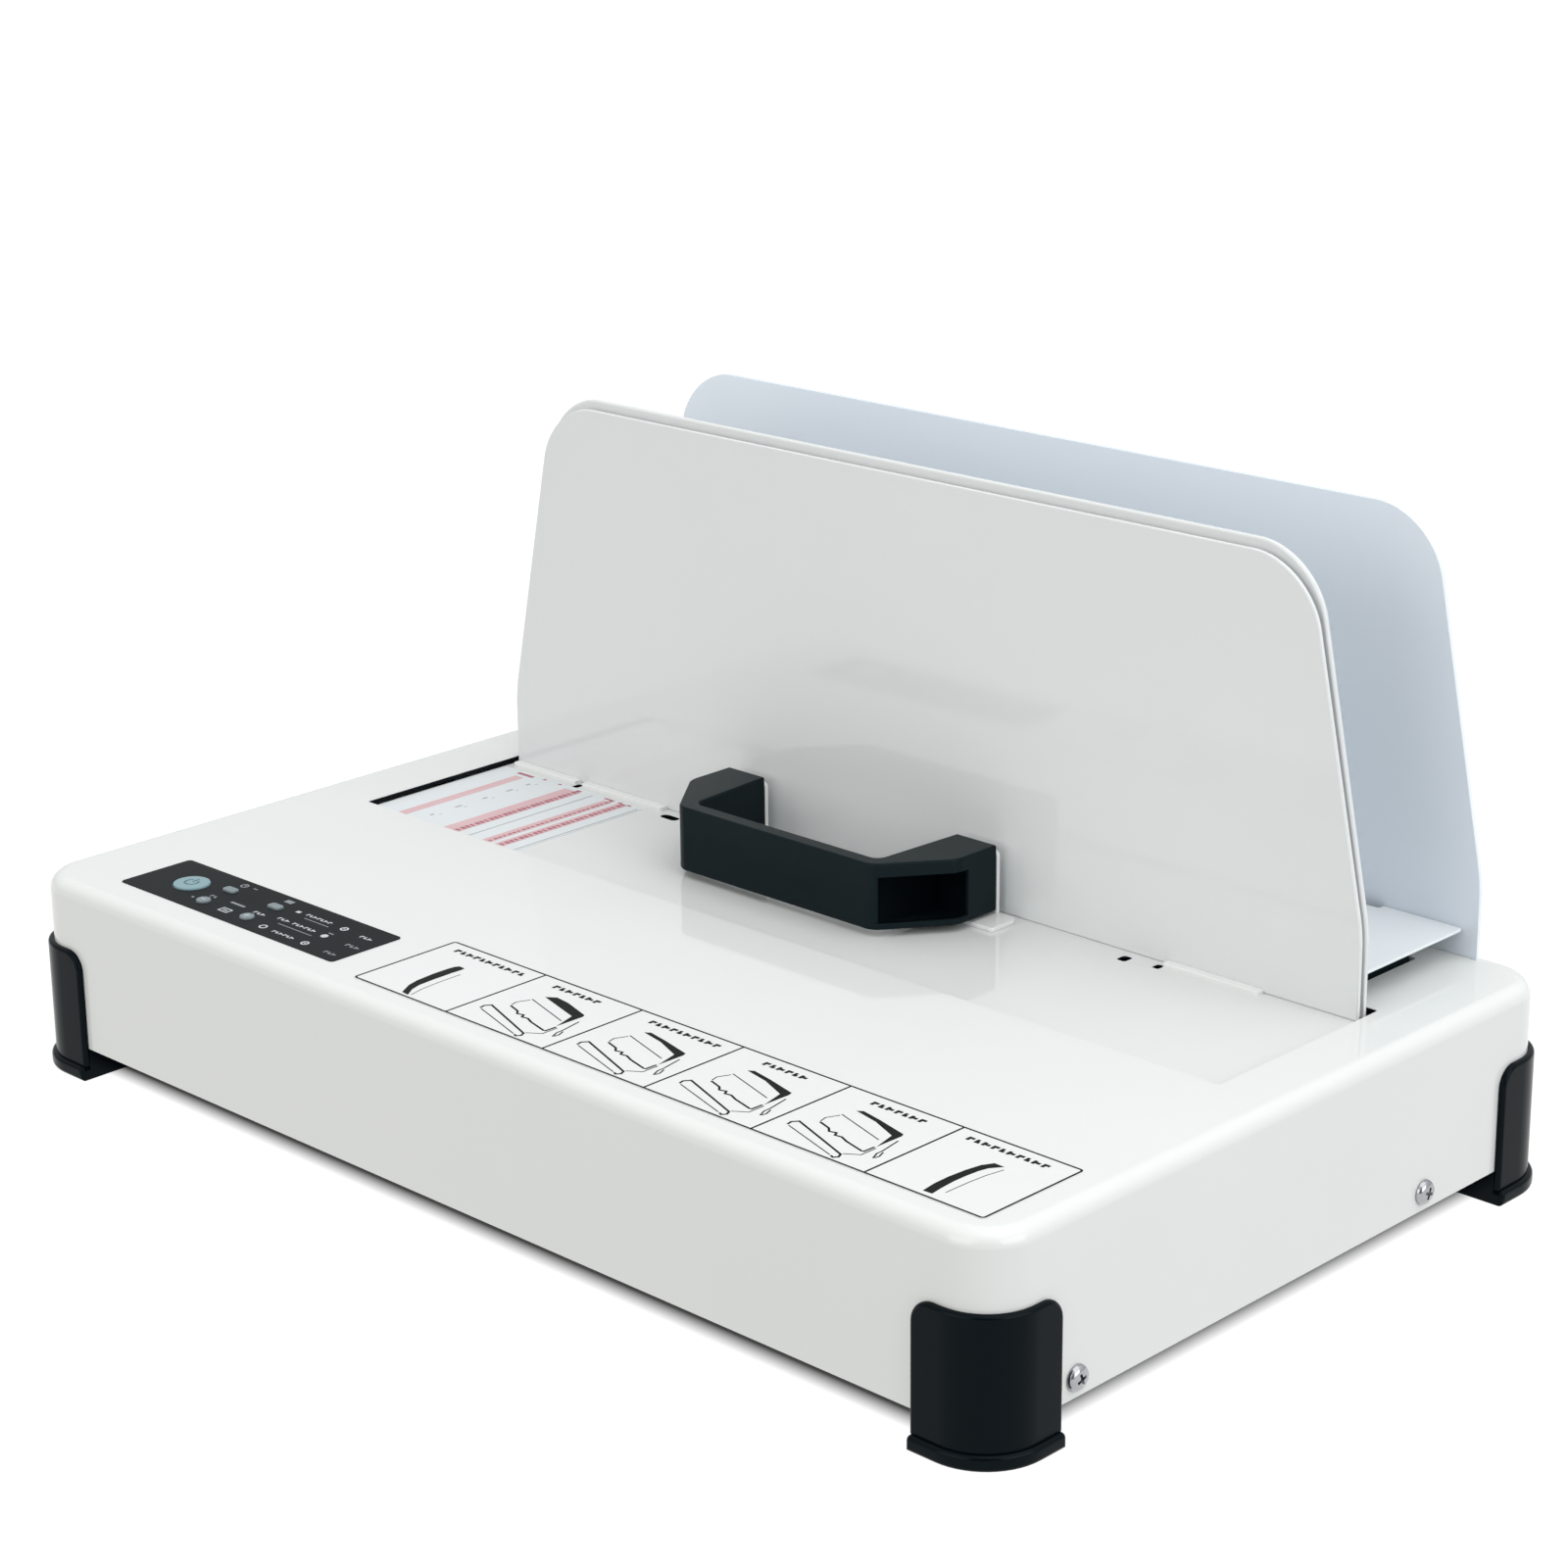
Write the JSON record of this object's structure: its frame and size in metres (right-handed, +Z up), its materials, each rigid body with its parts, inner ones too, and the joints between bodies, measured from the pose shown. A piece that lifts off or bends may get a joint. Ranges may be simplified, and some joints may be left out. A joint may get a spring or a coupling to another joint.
{
  "type": "thermal binding machine",
  "caption": "Desktop thermal binding machine: sheet metal housing on corner feet, sliding jaw with a bow handle, two tall plates and a heated book rest between them.",
  "frame": {"origin": "on the table under the middle of the machine, at the bottoms of the feet", "axes": "+X along the width to the right as seen from the operator, +Y from the operator to the back, +Z up"},
  "size_m": [0.4374, 0.2714, 0.209],
  "materials": {
    "white_coat": "gloss",
    "grey_coat": "satin",
    "zinc_sheet": "satin",
    "bright_steel": "polished",
    "black_rubber": "satin",
    "black_plastic": "satin",
    "gloss_black": "gloss",
    "dark_film": "satin",
    "white_film": "satin",
    "white_plastic": "satin",
    "grey_plastic": "satin",
    "blue_plastic": "satin",
    "circuit_board": "satin",
    "wool_board": "matte",
    "wound_core": "satin",
    "brass_posts": "satin"
  },
  "bodies": {
    "machine": {"housing_cover": "white_coat", "base_pan": "zinc_sheet", "foot_front_left": "black_rubber", "foot_front_right": "black_rubber", "foot_rear_left": "black_rubber", "foot_rear_right": "black_rubber", "foot_screws": "bright_steel", "cover_screws": "bright_steel", "control_overlay": "dark_film", "control_board": "circuit_board", "board_posts": "white_plastic", "key_switches": "black_plastic", "instruction_film": "white_film", "rear_plate": "grey_coat", "rear_supports": "zinc_sheet", "rear_plate_screws": "bright_steel", "book_rest": "white_coat", "heater_frame": "black_plastic", "heating_element": "zinc_sheet", "heat_shield": "wool_board", "thermostat": "zinc_sheet", "thermal_fuse": "bright_steel", "heater_legs": "zinc_sheet", "guide_rods": "bright_steel", "rod_holders": "black_plastic", "power_board": "circuit_board", "board_standoffs": "brass_posts", "relay": "blue_plastic", "choke": "wound_core", "mains_inlet": "black_plastic", "inlet_pins": "bright_steel", "switch_frame": "black_plastic"},
    "jaw": {"jaw_floor": "white_coat", "front_plate": "white_coat", "press_plate": "white_coat", "plate_spacers": "zinc_sheet", "slide_blocks": "white_plastic", "handle_bracket": "white_coat", "handle": "black_plastic", "handle_screws": "bright_steel", "floor_label": "white_film"},
    "power_button": {"power_key": "blue_plastic"},
    "time_button": {"time_key": "grey_plastic"},
    "heat_button": {"heat_key": "grey_plastic"},
    "less_button": {"less_key": "grey_plastic"},
    "more_button": {"more_key": "grey_plastic"},
    "rocker": {"rocker_key": "gloss_black"}
  },
  "joints": [
    {"name": "jaw_slide", "type": "slide", "parent": "machine", "child": "jaw", "axis": [0, -1, 0], "range_m": [0, 0.05]},
    {"name": "power_press", "type": "slide", "parent": "machine", "child": "power_button", "axis": [0, 0, -1], "range_m": [0, 0.0008], "stiffness_N_per_m": 1500, "springref_m": -0.0004},
    {"name": "time_press", "type": "slide", "parent": "machine", "child": "time_button", "axis": [0, 0, -1], "range_m": [0, 0.0008], "stiffness_N_per_m": 1200, "springref_m": -0.0004},
    {"name": "heat_press", "type": "slide", "parent": "machine", "child": "heat_button", "axis": [0, 0, -1], "range_m": [0, 0.0008], "stiffness_N_per_m": 1200, "springref_m": -0.0004},
    {"name": "less_press", "type": "slide", "parent": "machine", "child": "less_button", "axis": [0, 0, -1], "range_m": [0, 0.0008], "stiffness_N_per_m": 1200, "springref_m": -0.0004},
    {"name": "more_press", "type": "slide", "parent": "machine", "child": "more_button", "axis": [0, 0, -1], "range_m": [0, 0.0008], "stiffness_N_per_m": 1200, "springref_m": -0.0004},
    {"name": "rocker_tilt", "type": "hinge", "parent": "machine", "child": "rocker", "pos_m": [-0.035, 0.1306, 0.038], "axis": [-1, 0, 0], "range_deg": [0, 14]}
  ]
}
